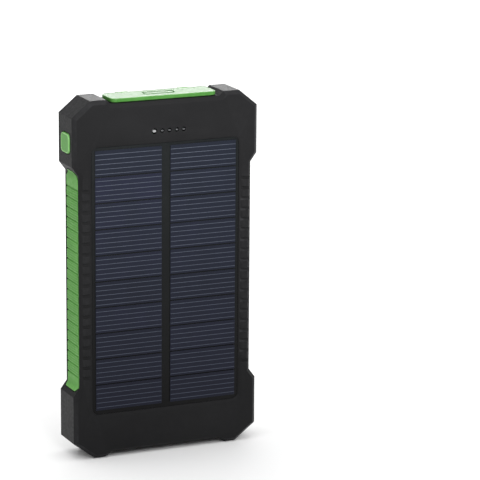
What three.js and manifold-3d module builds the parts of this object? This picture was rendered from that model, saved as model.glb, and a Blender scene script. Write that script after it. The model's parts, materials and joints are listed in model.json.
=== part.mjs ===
// Solar phone charger: a slab-shaped power bank with bumper corners, a recessed
// solar panel on the front, a work lamp, a fold-out stand with a webbing pull
// loop on the back, a rubber port cover on top and a power button on the side.
// Units are millimetres, +Z up. The charger stands on its two feet, the solar
// face looks along -Y and the power button is on the -X side.
import * as THREE from 'three';
import { mergeVertices } from 'three/addons/utils/BufferGeometryUtils.js';
import Module from 'manifold-3d';

const wasm = await Module();
wasm.setup();

// ---------------------------------------------------------------- dimensions
const WIDTH = 75.0;            // over the bumpers
const HEIGHT = 138.0;          // feet to bumper tops
const DEPTH = 16.2;            // solar face to rear rails
const EDGE = 1.4;              // chamfer round the front and rear faces
const WAIST_INSET = 2.5;       // waist side set in from the bumper side
const BUMPER = 24.6;           // length of a bumper side at each end
const BUMPER_SLOPE = 3.35;      // run of the slope from bumper to waist
const TOP_RECESS = 1.6;        // port shelf below the bumper tops
const FOOT_LIFT = 1.5;         // bottom edge above the feet
const BUTTON_PROUD = 0.5;      // button cap out of the case side
const LOOP_OUT = 10.2;         // furthest point of the pull loop behind the mid plane
const FRONT_Y = -DEPTH / 2, REAR_Y = DEPTH / 2;
const SEAM_Y = 6.25;           // rear edge of the front shell
const CHANNEL_Y = 6.9;         // floor of the rear channel
const CHANNEL_HALF = 23.6;     // half width of the rear channel
const INNER_Y = 4.1;           // inner face of the rear shell
const FLOOR_OUT = -4.7, FLOOR_IN = -3.4;   // tray floor behind the solar panel
const WALL_FRONT = -6.5;       // inner face of the front wall
const WINDOW = { x: 29.9, z0: 17.1, z1: 120.2, r: 2.2, rim: 1.9, rimDepth: 0.9 };
const CELL = { x0: 1.75, x1: 28.6, z0: 18.8, z1: 119.1 };
const RIB_COUNT = 18, RIB_PITCH = 4.0, RIB_GROOVE = 1.3, RIB_Z0 = 32.2;
const LAMP = { x: 12.9, z0: 107.6, z1: 125.6, r: 3.0 };
const STAND = { x: 15.6, z0: 28.3, z1: 99.0, r: 4.6, gap: 0.4, axisY: 6.35, axisZ: 98.1, stub: 0.45 };
const LOOP = { half: 4.8, barY: 6.6, barZ: 30.8, bar: 0.5, web: 0.8 };
const COVER = { x: 21.3, y0: -6.2, y1: 5.6, z0: 136.6, z1: 138.1, axisY: 6.7, axisZ: 137.3 };
const STRAP = { x: 12.5, half: 2.5 };
const BUTTON = { y: -0.5, halfY: 4.0, z: 121.8, halfZ: 3.75 };
const SCREW = { x: 28.3, zTop: 129.3, zBottom: 9.0 };
const MARKS = [-5.0, -1.8, 1.1, 4.1, 6.9];
const MARK_Z = 125.0;
const USB = { x: 14.2, y0: -1.55, y1: 3.9, half: 6.6, z0: 121.5, z1: 135.0 };
const MICRO = { half: 3.9, y0: -1.55, y1: 1.25, z0: 129.5, z1: 135.0 };
const BOARD = { y0: -2.7, y1: -1.7 };

// ------------------------------------------------------------------- helpers
function solid(geometry) {
  const g = geometry.clone();
  for (const name of Object.keys(g.attributes)) if (name !== 'position') g.deleteAttribute(name);
  const m = mergeVertices(g, 1e-5);
  const s = new wasm.Manifold(new wasm.Mesh({
    numProp: 3,
    vertProperties: new Float32Array(m.attributes.position.array),
    triVerts: new Uint32Array(m.index.array),
  }));
  return s;
}
function geometryOf(s) {
  const mesh = s.getMesh();
  const g = new THREE.BufferGeometry();
  g.setAttribute('position', new THREE.BufferAttribute(new Float32Array(mesh.vertProperties), 3));
  g.setIndex(new THREE.BufferAttribute(new Uint32Array(mesh.triVerts), 1));
  g.computeVertexNormals();
  return g;
}
function shapeOf(points) {
  return new THREE.Shape(points.map(([a, b]) => new THREE.Vector2(a, b)));
}
// rounded or clipped rectangle outline as points
function roundRect(x0, y0, x1, y1, r, n = 5) {
  const pts = [];
  const corners = [[x1 - r, y0 + r, -90], [x1 - r, y1 - r, 0], [x0 + r, y1 - r, 90], [x0 + r, y0 + r, 180]];
  for (const [cx, cy, a0] of corners)
    for (let i = 0; i <= n; i++) {
      const a = (a0 + (90 * i) / n) * Math.PI / 180;
      pts.push([cx + r * Math.cos(a), cy + r * Math.sin(a)]);
    }
  return pts;
}
// outline in x and z, thickness along y from y0 to y1
function slabY(points, y0, y1, bevel = 0) {
  const t = y1 - y0;
  const g = new THREE.ExtrudeGeometry(shapeOf(points), bevel
    ? { depth: t - 2 * bevel, bevelEnabled: true, bevelThickness: bevel, bevelSize: bevel, bevelOffset: -bevel, bevelSegments: 1, steps: 1 }
    : { depth: t, bevelEnabled: false, steps: 1 });
  g.rotateX(Math.PI / 2);
  g.translate(0, bevel ? y1 - bevel : y1, 0);
  return g;
}
// outline in x and y, thickness along z
function slabZ(points, z0, z1) {
  const g = new THREE.ExtrudeGeometry(shapeOf(points), { depth: z1 - z0, bevelEnabled: false, steps: 1 });
  g.translate(0, 0, z0);
  return g;
}
// outline in y and z, thickness along x
const AXES_X = new THREE.Matrix4().makeBasis(new THREE.Vector3(0, 1, 0), new THREE.Vector3(0, 0, 1), new THREE.Vector3(1, 0, 0));
function slabX(shape, x0, x1, bevel = 0) {
  const t = x1 - x0;
  const s = shape instanceof THREE.Shape ? shape : shapeOf(shape);
  const g = new THREE.ExtrudeGeometry(s, bevel
    ? { depth: t - 2 * bevel, bevelEnabled: true, bevelThickness: bevel, bevelSize: bevel, bevelOffset: -bevel, bevelSegments: 1, steps: 1 }
    : { depth: t, bevelEnabled: false, steps: 1 });
  g.translate(0, 0, bevel);
  g.applyMatrix4(AXES_X);
  g.translate(x0, 0, 0);
  return g;
}
function box(x0, y0, z0, x1, y1, z1) {
  const g = new THREE.BoxGeometry(x1 - x0, y1 - y0, z1 - z0);
  g.translate((x0 + x1) / 2, (y0 + y1) / 2, (z0 + z1) / 2);
  return g;
}
// turned piece with its axis along +Y at (x, z); profile rows are [radius, y]
function turnedY(profile, x, z, n = 20) {
  const g = new THREE.LatheGeometry(profile.map(([r, y]) => new THREE.Vector2(r, y)), n);
  g.translate(x, 0, z);
  return g;
}
function rod(x, z, y0, y1, r, n = 20) {
  return turnedY([[0, y0], [r, y0], [r, y1], [0, y1]], x, z, n);
}
function wire(points, r = 0.45) {
  const path = new THREE.CatmullRomCurve3(points.map((p) => new THREE.Vector3(...p)), false, 'centripetal');
  const ring = [];
  for (let i = 0; i < 8; i++) ring.push([r * Math.cos(i * Math.PI / 4), r * Math.sin(i * Math.PI / 4)]);
  return new THREE.ExtrudeGeometry(shapeOf(ring), { steps: 14, extrudePath: path, bevelEnabled: false });
}
function mirrorPoints(half) {   // half outline on +X, top centre to bottom centre, clockwise
  const other = half.map(([x, z]) => [-x, z]).reverse();
  return half.concat(other).reverse();
}
// move every edge of a closed outline inwards by d (counter-clockwise points)
function inset(points, d) {
  const n = points.length, out = [];
  for (let i = 0; i < n; i++) {
    const a = points[(i + n - 1) % n], b = points[i], c = points[(i + 1) % n];
    const u = [b[0] - a[0], b[1] - a[1]], v = [c[0] - b[0], c[1] - b[1]];
    const lu = Math.hypot(...u), lv = Math.hypot(...v);
    const nu = [-u[1] / lu, u[0] / lu], nv = [-v[1] / lv, v[0] / lv];
    const k = 1 + nu[0] * nv[0] + nu[1] * nv[1];
    out.push([b[0] + d * (nu[0] + nv[0]) / k, b[1] + d * (nu[1] + nv[1]) / k]);
  }
  return out;
}
function material(color, roughness, metalness = 0, extra = {}) {
  return new THREE.MeshStandardMaterial({ color, roughness, metalness, ...extra });
}

const charger = new THREE.Group();
charger.name = 'solar_charger';
// the origin lies under the middle of the whole charger, button and loop included
charger.position.set(BUTTON_PROUD / 2, -(FRONT_Y + LOOP_OUT) / 2, 0);
function add(name, geometry, mat) {
  const mesh = new THREE.Mesh(geometry, mat);
  mesh.name = name;
  charger.add(mesh);
  return mesh;
}

const black = () => material(0x2b2b2d, 0.62);
const blackPanel = () => material(0x252528, 0.6);
const green = () => material(0x63b14e, 0.55);
const steel = () => material(0xb8bcc0, 0.3, 1.0);

// --------------------------------------------------------------- case outline
const W2 = WIDTH / 2, waist = W2 - WAIST_INSET;
const zb = HEIGHT - BUMPER, zw = zb - BUMPER_SLOPE;
const half = [
  [22.2, HEIGHT - TOP_RECESS], [23.7, HEIGHT], [30.2, HEIGHT], [W2, HEIGHT - 6.0],
  [W2, zb], [waist, zw], [waist, BUMPER + BUMPER_SLOPE + 0.2], [W2, BUMPER + 0.2],
  [W2, 6.4], [29.1, 0], [24.7, 0], [22.3, FOOT_LIFT],
];
const caseOutline = mirrorPoints(half);
const cavityOutline = mirrorPoints([
  [29.0, 134.2], [35.3, 129.0], [35.3, 114.6], [31.9, 110.0],
  [31.9, 28.5], [35.3, 23.9], [35.3, 8.0], [29.0, 3.4],
]);
const blank = solid(slabY(caseOutline, FRONT_Y, REAR_Y, EDGE));

const grooveZ = [];
for (let i = 0; i <= RIB_COUNT; i++) grooveZ.push(RIB_Z0 + i * RIB_PITCH);

// side strip bed: outline seen from the side, cut out of the waist
function stripOutline(grow) {
  const y0 = -6.0 - grow, y1 = 5.4 + grow, z0 = 25.2 - grow, z1 = 111.2 + grow, c = 2.9;
  return [[y0 + c, z0], [y1 - c * 0.8, z0], [y1, z0 + c * 0.8], [y1, z1 - c], [y1 - c, z1], [y0 + c, z1], [y0, z1 - c], [y0, z0 + c]];
}

// ---------------------------------------------------------------- front shell
let front = blank.intersect(solid(box(-60, FRONT_Y - 2, -5, 60, SEAM_Y, HEIGHT + 5)));
front = front.subtract(solid(slabY(cavityOutline, FLOOR_IN, SEAM_Y + 1)));
// pockets between the front wall and the floor, above and below the panel tray
front = front.subtract(solid(slabY([[-30, 123.0], [30, 123.0], [33, 127], [33, 130], [28.6, 133.6], [-28.6, 133.6], [-33, 130], [-33, 127]], WALL_FRONT, FLOOR_IN + 0.5)));
front = front.subtract(solid(slabY([[-24, 4.2], [24, 4.2], [24, 12.6], [-24, 12.6]], WALL_FRONT, FLOOR_IN + 0.5)));
// solar window and panel seat
front = front.subtract(solid(slabY(roundRect(-WINDOW.x, WINDOW.z0, WINDOW.x, WINDOW.z1, WINDOW.r), FRONT_Y - 1, FLOOR_OUT)));
// shallow sloped rim round the window
const windowRing = (d, y0, y1) => solid(slabY(roundRect(-WINDOW.x - d, WINDOW.z0 - d, WINDOW.x + d, WINDOW.z1 + d, WINDOW.r + d), y0, y1));
front = front.subtract(wasm.Manifold.hull([windowRing(WINDOW.rim, FRONT_Y - 1, FRONT_Y), windowRing(0, FRONT_Y + WINDOW.rimDepth - 0.01, FRONT_Y + WINDOW.rimDepth)]));
front = front.subtract(solid(rod(3, 99.8, FLOOR_OUT - 1, FLOOR_IN + 1, 1.0, 12)));
front = front.subtract(solid(rod(-3, 99.8, FLOOR_OUT - 1, FLOOR_IN + 1, 1.0, 12)));
// screw bosses
for (const sx of [-1, 1]) for (const z of [SCREW.zTop, SCREW.zBottom]) {
  front = front.add(solid(rod(sx * SCREW.x, z, WALL_FRONT - 0.4, 3.7, 2.6, 16)));
  front = front.subtract(solid(rod(sx * SCREW.x, z, -4.6, 5, 1.35, 12)));
}
// indicator holes, first one larger
MARKS.forEach((x, i) => {
  front = front.subtract(solid(rod(x, MARK_Z, FRONT_Y - 1, WALL_FRONT + 0.5, i === 0 ? 1.1 : 0.85, 12)));
});
// port openings in the shelf
for (const sx of [-1, 1])
  front = front.subtract(solid(slabZ(roundRect(sx * USB.x - USB.half - 0.3, USB.y0 - 0.3, sx * USB.x + USB.half + 0.3, USB.y1 + 0.3, 0.5, 2), 130, 140)));
front = front.subtract(solid(slabZ(roundRect(-MICRO.half - 0.3, MICRO.y0 - 0.3, MICRO.half + 0.3, MICRO.y1 + 0.3, 0.6, 2), 130, 140)));
// button opening
const by0 = BUTTON.y - BUTTON.halfY, by1 = BUTTON.y + BUTTON.halfY, bz0 = BUTTON.z - BUTTON.halfZ, bz1 = BUTTON.z + BUTTON.halfZ;
front = front.subtract(solid(box(-35.3, -6.1, 116.3, -32.6, FLOOR_IN + 0.5, 128.2)));
front = front.subtract(solid(slabX(roundRect(by0 - 0.3, bz0 - 0.3, by1 + 0.3, bz1 + 0.3, 2.1, 4), -40, -34)));
// beds of the side strips and the grip grooves on the front pads
for (const sx of [-1, 1]) {
  front = front.subtract(stripRegion(sx, 0.25));
  for (const z of grooveZ) {
    const x0 = sx < 0 ? -36 : 29.2, x1 = sx < 0 ? -29.2 : 36;
    front = front.subtract(solid(box(x0, FRONT_Y - 1, z - RIB_GROOVE / 2, x1, FRONT_Y + 0.55, z + RIB_GROOVE / 2)));
  }
}
function mirrorSide(points, sx) {
  const p = points.map(([x, z]) => [sx * x, z]);
  return area(p) < 0 ? p.reverse() : p;
}
function area(p) {
  let a = 0;
  for (let i = 0; i < p.length; i++) { const q = p[(i + 1) % p.length]; a += p[i][0] * q[1] - q[0] * p[i][1]; }
  return a / 2;
}
// band along the waist side, 1.3 thick, that follows the slopes at both ends
function stripRegion(sx, grow) {
  const t = 1.3 + grow;
  const band = [
    [waist + 3.6, 28.1 - grow], [waist + 1.4 - 0.82 * t, 26.75 - 0.57 * t - grow], [waist - t, 28.4 - grow],
    [waist - t, zw - 0.6], [waist - t + 0.9, zw + 1.4 + grow], [waist + 3, zw + 1.6 + grow],
  ];
  const xa = sx < 0 ? -45 : 30, xb = sx < 0 ? -30 : 45;
  return solid(slabY(mirrorSide(band, sx), -9, 9)).intersect(solid(slabX(stripOutline(grow), xa, xb)));
}
add('front_shell', geometryOf(front), black());

// ----------------------------------------------------------------- rear shell
const plugOutline = inset(cavityOutline, 0.3);
let rear = blank.intersect(solid(box(-60, SEAM_Y + 0.4, -5, 60, REAR_Y + 2, HEIGHT + 5)));
rear = rear.add(solid(slabY(plugOutline, INNER_Y, SEAM_Y + 0.8)));
// rear channel, open at the bottom edge, with a sloped step to the rails
const channel = [[-CHANNEL_HALF, -2], [CHANNEL_HALF, -2], [CHANNEL_HALF, 131.5], [CHANNEL_HALF - 3.5, 140], [-CHANNEL_HALF + 3.5, 140], [-CHANNEL_HALF, 131.5]];
rear = rear.subtract(solid(slabY(channel, CHANNEL_Y, REAR_Y + 1)));
// lamp opening with a seat for the diffuser
rear = rear.subtract(solid(slabY(roundRect(-LAMP.x, LAMP.z0, LAMP.x, LAMP.z1, LAMP.r), INNER_Y - 1, REAR_Y + 1)));
// stand pocket with deeper troughs for the hinge edge and the pull loop
const g = STAND.gap;
rear = rear.subtract(solid(slabY(roundRect(-STAND.x - g, STAND.z0 - g, STAND.x + g, STAND.z1 + g, STAND.r + g), 5.3, REAR_Y + 1)));
rear = rear.subtract(solid(slabY(roundRect(-STAND.x - g, STAND.z0 - g, STAND.x + g, STAND.z1 + g, STAND.r + g), 4.8, 6))
  .intersect(solid(box(-20, 4, STAND.axisZ - 1.5, 20, 7, STAND.z1 + 2))));
rear = rear.subtract(solid(box(-5.6, 4.75, STAND.z0 - g + 0.02, 5.6, 6, 33.6)));
for (const sx of [-1, 1]) {
  const a = sx < 0 ? -15.8 : 12.8, b = sx < 0 ? -12.8 : 15.8;
  const hole = [];
  for (let i = 0; i < 12; i++) hole.push([STAND.axisY + 0.72 * Math.cos(i * Math.PI / 6), STAND.axisZ + 0.72 * Math.sin(i * Math.PI / 6)]);
  rear = rear.subtract(solid(slabX(hole, a, b)));
  // anchor slots of the cover straps
  rear = rear.subtract(solid(box(sx * STRAP.x - STRAP.half - 0.3, SEAM_Y, 134.4, sx * STRAP.x + STRAP.half + 0.3, REAR_Y + 1, HEIGHT + 1)));
  // grip grooves on the rails
  for (const z of grooveZ)
    rear = rear.subtract(solid(slabY(roundRect(sx < 0 ? -36 : 25.2, z - RIB_GROOVE / 2, sx < 0 ? -25.2 : 36, z + RIB_GROOVE / 2, 0.6, 2), REAR_Y - 0.6, REAR_Y + 1)));
  // countersunk screw holes
  for (const z of [SCREW.zTop, SCREW.zBottom])
    rear = rear.subtract(solid(turnedY([[0, INNER_Y - 1], [1.35, INNER_Y - 1], [1.35, 4.9], [2.4, 4.9], [2.4, REAR_Y + 1], [0, REAR_Y + 1]], sx * SCREW.x, z, 20)));
}
add('rear_shell', geometryOf(rear), black());

// seal between the two shells
const seal = solid(slabY(inset(caseOutline, 0.55), SEAM_Y + 0.05, SEAM_Y + 0.35))
  .subtract(solid(slabY(inset(cavityOutline, -0.1), SEAM_Y - 1, SEAM_Y + 1)))
  .subtract(stripRegion(-1, 0.3)).subtract(stripRegion(1, 0.3));
add('shell_seal', geometryOf(seal), material(0x1a1a1a, 0.8));

// side strips, soft green rubber in the waist beds
const skin = solid(slabY(inset(caseOutline, -0.15), FRONT_Y - 0.1, REAR_Y + 0.15, EDGE));
for (const [name, sx] of [['side_strip_left', -1], ['side_strip_right', 1]])
  add(name, geometryOf(skin.intersect(stripRegion(sx, -0.05))), green());

// --------------------------------------------------------- port cover and lugs
let cover = solid(slabZ(roundRect(-COVER.x, COVER.y0, COVER.x, COVER.y1, 2.4, 5), COVER.z0, COVER.z1));
for (const sx of [-1, 1]) {
  // ears that carry the flexible straps
  cover = cover.add(solid(box(sx * STRAP.x - STRAP.half, COVER.y1 - 0.5, COVER.z0, sx * STRAP.x + STRAP.half, 6.6, COVER.z1)));
  // plugs that sit in the port openings
  cover = cover.add(solid(slabZ(roundRect(sx * USB.x - 5.9, USB.y0 + 0.4, sx * USB.x + 5.9, USB.y1 - 0.4, 0.6, 2), 135.4, COVER.z0 + 0.4)));
}
cover = cover.add(solid(slabZ(roundRect(-3.3, MICRO.y0 + 0.35, 3.3, MICRO.y1 - 0.35, 0.5, 2), 135.4, COVER.z0 + 0.4)));
add('port_cover', geometryOf(cover), green());
for (const [name, sx] of [['cover_anchor_left', -1], ['cover_anchor_right', 1]])
  add(name, box(sx * STRAP.x - STRAP.half, 6.95, 134.7, sx * STRAP.x + STRAP.half, 8.0, COVER.axisZ - 1.0), green());

// ---------------------------------------------------------------- power button
let button = solid(slabX(roundRect(by0, bz0, by1, bz1, 1.9, 4), -W2 - BUTTON_PROUD, -35.0, 0.35));
button = button.add(solid(slabX(roundRect(by0 - 0.9, bz0 - 0.9, by1 + 0.2, bz1 + 0.9, 2.2, 4), -35.1, -34.6)));
add('power_button', geometryOf(button), green());
let tact = solid(box(-33.2, BOARD.y1 + 0.1, BUTTON.z - 3.0, -30.6, 1.6, BUTTON.z + 3.0));
tact = tact.add(solid(slabX(roundRect(BUTTON.y - 1.0, BUTTON.z - 1.0, BUTTON.y + 1.0, BUTTON.z + 1.0, 0.6, 3), -34.0, -33.0)));
add('tact_switch', geometryOf(tact), material(0x303236, 0.5));

// ---------------------------------------------------------------- electronics
add('main_board', geometryOf(solid(slabY([[-24.6, 102], [24.6, 102], [24.6, 133.6], [-24.6, 133.6], [-24.6, 125.9], [-33.4, 125.9], [-33.4, 117.2], [-24.6, 117.2]], BOARD.y0, BOARD.y1))), material(0x1f6b3f, 0.5));
for (const [name, sx] of [['usb_port_left', -1], ['usb_port_right', 1]]) {
  const cx = sx * USB.x;
  let port = solid(box(cx - USB.half, USB.y0, USB.z0, cx + USB.half, USB.y1, USB.z1));
  port = port.subtract(solid(box(cx - USB.half + 0.4, USB.y0 + 0.4, USB.z0 + 4.5, cx + USB.half - 0.4, USB.y1 - 0.4, USB.z1 + 1)));
  port = port.add(solid(box(cx - 5.6, USB.y1 - 2.3, USB.z0 + 4, cx + 5.6, USB.y1 - 0.7, USB.z1 - 0.8)));
  add(name, geometryOf(port), steel());
}
let micro = solid(slabZ([[-3.2, MICRO.y0], [3.2, MICRO.y0], [MICRO.half, MICRO.y0 + 0.8], [MICRO.half, MICRO.y1], [-MICRO.half, MICRO.y1], [-MICRO.half, MICRO.y0 + 0.8]], MICRO.z0, MICRO.z1));
micro = micro.subtract(solid(slabZ([[-2.9, MICRO.y0 + 0.35], [2.9, MICRO.y0 + 0.35], [3.5, MICRO.y0 + 0.95], [3.5, MICRO.y1 - 0.35], [-3.5, MICRO.y1 - 0.35], [-3.5, MICRO.y0 + 0.95]], MICRO.z0 + 1.2, MICRO.z1 + 1)));
micro = micro.add(solid(box(-2.6, MICRO.y0 + 1.0, MICRO.z0 + 1, 2.6, MICRO.y0 + 1.6, MICRO.z1 - 0.6)));
add('charging_port', geometryOf(micro), steel());
add('inductor', rod(0, 115.5, BOARD.y1 + 0.1, 1.9, 3.2, 18), material(0x4a4a4c, 0.7));
add('controller_chip', box(-12.5, BOARD.y1 + 0.1, 111.5, -7.5, -0.7, 116.5), material(0x151515, 0.4));
add('charger_chip', box(8.0, BOARD.y1 + 0.1, 112.0, 12.0, -0.7, 116.0), material(0x151515, 0.4));
add('capacitor_1', rod(-18.6, 110.4, BOARD.y1 + 0.1, 3.4, 2.6, 16), material(0x8c8f94, 0.35, 0.8));
add('capacitor_2', rod(18.6, 110.4, BOARD.y1 + 0.1, 3.4, 2.6, 16), material(0x8c8f94, 0.35, 0.8));
MARKS.forEach((x, i) => {
  const r = i === 0 ? 0.8 : 0.6, f = r + 0.5;
  add(`indicator_lens_${i + 1}`, turnedY([[0, FRONT_Y + 0.05], [r, FRONT_Y + 0.05], [r, WALL_FRONT + 0.15], [f, WALL_FRONT + 0.15], [f, WALL_FRONT + 0.8], [r, WALL_FRONT + 0.8], [r, -3.8], [0, -3.8]], x, MARK_Z, 12), material(0xd8dcd6, 0.3));
  add(`status_led_${i + 1}`, box(x - 0.8, -3.55, MARK_Z - 0.5, x + 0.8, BOARD.y0 - 0.1, MARK_Z + 0.5), material(0xf2f2ea, 0.35));
});

// -------------------------------------------------------------------- battery
add('battery_pouch', geometryOf(solid(slabY(roundRect(-29.4, 14.4, 29.4, 94.6, 2.0, 3), -3.1, 3.6, 0.8))), material(0xb9bec4, 0.35, 0.6));
add('battery_pad', box(-20, -3.0, 5.4, 20, 3.4, 13.8), material(0x2f2f33, 0.95));
add('protection_board', box(-15, -0.5, 95.4, 15, 0.5, 98.9), material(0x1f6b3f, 0.5));

// ---------------------------------------------------------------- solar panel
add('solar_board', geometryOf(solid(slabY(roundRect(-WINDOW.x + 0.3, WINDOW.z0 + 0.3, WINDOW.x - 0.3, WINDOW.z1 - 0.3, WINDOW.r - 0.3, 5), -7.1, FLOOR_OUT - 0.1))), material(0x1b2422, 0.35));
for (const [name, sx] of [['solar_cells_left', -1], ['solar_cells_right', 1]])
  add(name, box(sx < 0 ? -CELL.x1 : CELL.x0, -7.45, CELL.z0, sx < 0 ? -CELL.x0 : CELL.x1, -7.2, CELL.z1), material(0x2b3048, 0.35));

// ------------------------------------------------------------------ work lamp
add('lamp_diffuser', geometryOf(solid(slabY(roundRect(-LAMP.x + 0.3, LAMP.z0 + 0.3, LAMP.x - 0.3, LAMP.z1 - 0.3, LAMP.r - 0.3, 5), 5.7, 7.2, 0.3))), material(0xe9e9e6, 0.4));
add('lamp_board', box(-12.4, 4.25, LAMP.z0 + 1.4, 12.4, 5.05, LAMP.z1 - 1.4), material(0xdfe3e0, 0.6));
[-8.4, -2.8, 2.8, 8.4].forEach((x, i) => add(`lamp_led_${i + 1}`, box(x - 1.4, 5.1, 115.2, x + 1.4, 5.6, 118.0), material(0xf4e9a8, 0.3)));

// ---------------------------------------------------- stand and webbing loop
let stand = solid(slabY(roundRect(-STAND.x, STAND.z0, STAND.x, STAND.z1, STAND.r), 5.45, CHANNEL_Y));
// the hinge edge is rounded off so that it can turn in its trough
stand = stand.subtract(solid(slabX([[6.3, STAND.z1 + 0.3], [7.2, 98.1], [7.2, STAND.z1 + 0.3]], -20, 20)));
// notch and slot for the webbing, leaving the bar
stand = stand.subtract(solid(box(-5.4, 4, STAND.z0 - 1, 5.4, 8, 33.2)));
const bar = [];
for (let i = 0; i < 10; i++) bar.push([LOOP.barY - 0.0 + LOOP.bar * Math.cos(i * Math.PI / 5), LOOP.barZ + LOOP.bar * Math.sin(i * Math.PI / 5)]);
stand = stand.add(solid(slabX(bar, -6.2, 6.2)));
const stub = [];
for (let i = 0; i < 10; i++) stub.push([STAND.axisY + STAND.stub * Math.cos(i * Math.PI / 5), STAND.axisZ + STAND.stub * Math.sin(i * Math.PI / 5)]);
for (const sx of [-1, 1]) stand = stand.add(solid(slabX(stub, sx < 0 ? -15.4 : 10.0, sx < 0 ? -10.0 : 15.4)));
add('stand_panel', geometryOf(stand), blackPanel());

// webbing: outer run, bottom bend, inner run and the turn round the bar
function loopLine() {
  const pts = [];
  const R = LOOP.bar + 0.25 + LOOP.web / 2;
  for (let i = 0; i <= 8; i++) {
    const a = (200 - 200 * i / 8) * Math.PI / 180;
    pts.push([LOOP.barY + R * Math.cos(a), LOOP.barZ + R * Math.sin(a)]);
  }
  const outer = [[8.15, 29.4], [8.75, 27.0], [9.1, 21.0], [9.5, 14.0], [9.74, 8.0], [9.785, 4.4]];
  pts.push(...outer);
  for (let i = 1; i < 6; i++) {
    const a = (-180 * i / 6) * Math.PI / 180;
    pts.push([8.89 + 0.89 * Math.cos(a), 3.4 + 0.89 * Math.sin(a)]);
  }
  pts.push([8.0, 4.4], [7.95, 10.0], [7.8, 18.0], [7.65, 25.0], [7.55, 27.4], [7.15, 28.45], [6.2, 29.35]);
  const curve = new THREE.CatmullRomCurve3(pts.map(([u, v]) => new THREE.Vector3(u, v, 0)), true, 'centripetal');
  return curve.getSpacedPoints(64).slice(0, 64).map((q) => [q.x, q.y]);
}
function ribbon(points, t) {   // closed ring of thickness t round a closed centre line
  const n = points.length, a = [], b = [];
  for (let i = 0; i < n; i++) {
    const p = points[(i + n - 1) % n], q = points[(i + 1) % n];
    const d = [q[0] - p[0], q[1] - p[1]], l = Math.hypot(...d), nn = [-d[1] / l, d[0] / l];
    a.push([points[i][0] + nn[0] * t / 2, points[i][1] + nn[1] * t / 2]);
    b.push([points[i][0] - nn[0] * t / 2, points[i][1] - nn[1] * t / 2]);
  }
  const [outer, inner] = Math.abs(area(a)) > Math.abs(area(b)) ? [a, b] : [b, a];
  if (area(outer) < 0) outer.reverse();
  if (area(inner) < 0) inner.reverse();
  const s = shapeOf(outer);
  s.holes.push(new THREE.Path(inner.map(([u, v]) => new THREE.Vector2(u, v))));
  return s;
}
add('pull_loop', geometryOf(solid(slabX(ribbon(loopLine(), LOOP.web), -LOOP.half, LOOP.half))), material(0x3c3c3f, 0.9));

// -------------------------------------------------------------------- screws
let k = 0;
for (const z of [SCREW.zTop, SCREW.zBottom]) for (const sx of [-1, 1]) {
  k++;
  add(`screw_cap_${k}`, turnedY([[0, 6.75], [2.1, 6.75], [2.1, REAR_Y - 0.3], [1.6, REAR_Y - 0.08], [0.9, REAR_Y], [0, REAR_Y]], sx * SCREW.x, z, 20), green());
  add(`case_screw_${k}`, turnedY([[0, -3.6], [1.0, -3.2], [1.0, 5.1], [1.8, 5.1], [2.0, 5.6], [1.6, 6.4], [0, 6.4]], sx * SCREW.x, z, 16), steel());
}

// ---------------------------------------------------------------------- leads
const leads = [
  ['battery_lead_red', 0xb02a22, [[9, 1.35, 97.2], [9, 1.35, 99.5], [9, 0.6, 102.4], [9, -0.6, 104.4], [9, -1.0, 106.6]]],
  ['battery_lead_black', 0x1c1c1c, [[-9, 1.35, 97.2], [-9, 1.35, 99.5], [-9, 0.6, 102.4], [-9, -0.6, 104.4], [-9, -1.0, 106.6]]],
  ['solar_lead_red', 0xb02a22, [[3, -4.2, 99.8], [3, -2.9, 99.85], [3, -1.3, 100.6], [3, -0.75, 102.6], [3, -0.95, 105.4]]],
  ['solar_lead_black', 0x1c1c1c, [[-3, -4.2, 99.8], [-3, -2.9, 99.85], [-3, -1.3, 100.6], [-3, -0.75, 102.6], [-3, -0.95, 105.4]]],
  ['lamp_lead_red', 0xb02a22, [[5.2, 3.5, 111.2], [5.2, 2.9, 109.8], [5.2, 1.4, 108.7], [5.2, 0.0, 108.6], [5.2, -0.9, 109.6]]],
  ['lamp_lead_black', 0x1c1c1c, [[-5.2, 3.5, 111.2], [-5.2, 2.9, 109.8], [-5.2, 1.4, 108.7], [-5.2, 0.0, 108.6], [-5.2, -0.9, 109.6]]],
];
for (const [name, color, points] of leads) add(name, wire(points), material(color, 0.5));

export default charger;
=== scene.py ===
"""Solar phone charger: the visual model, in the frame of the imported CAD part.

Numbers are in millimetres in the part's own drawing frame (X across, Y front to
rear, Z up) and P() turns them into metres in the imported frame.
"""
import json
import math

import bmesh
import bpy
import numpy as np
from mathutils import Matrix, Vector

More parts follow.
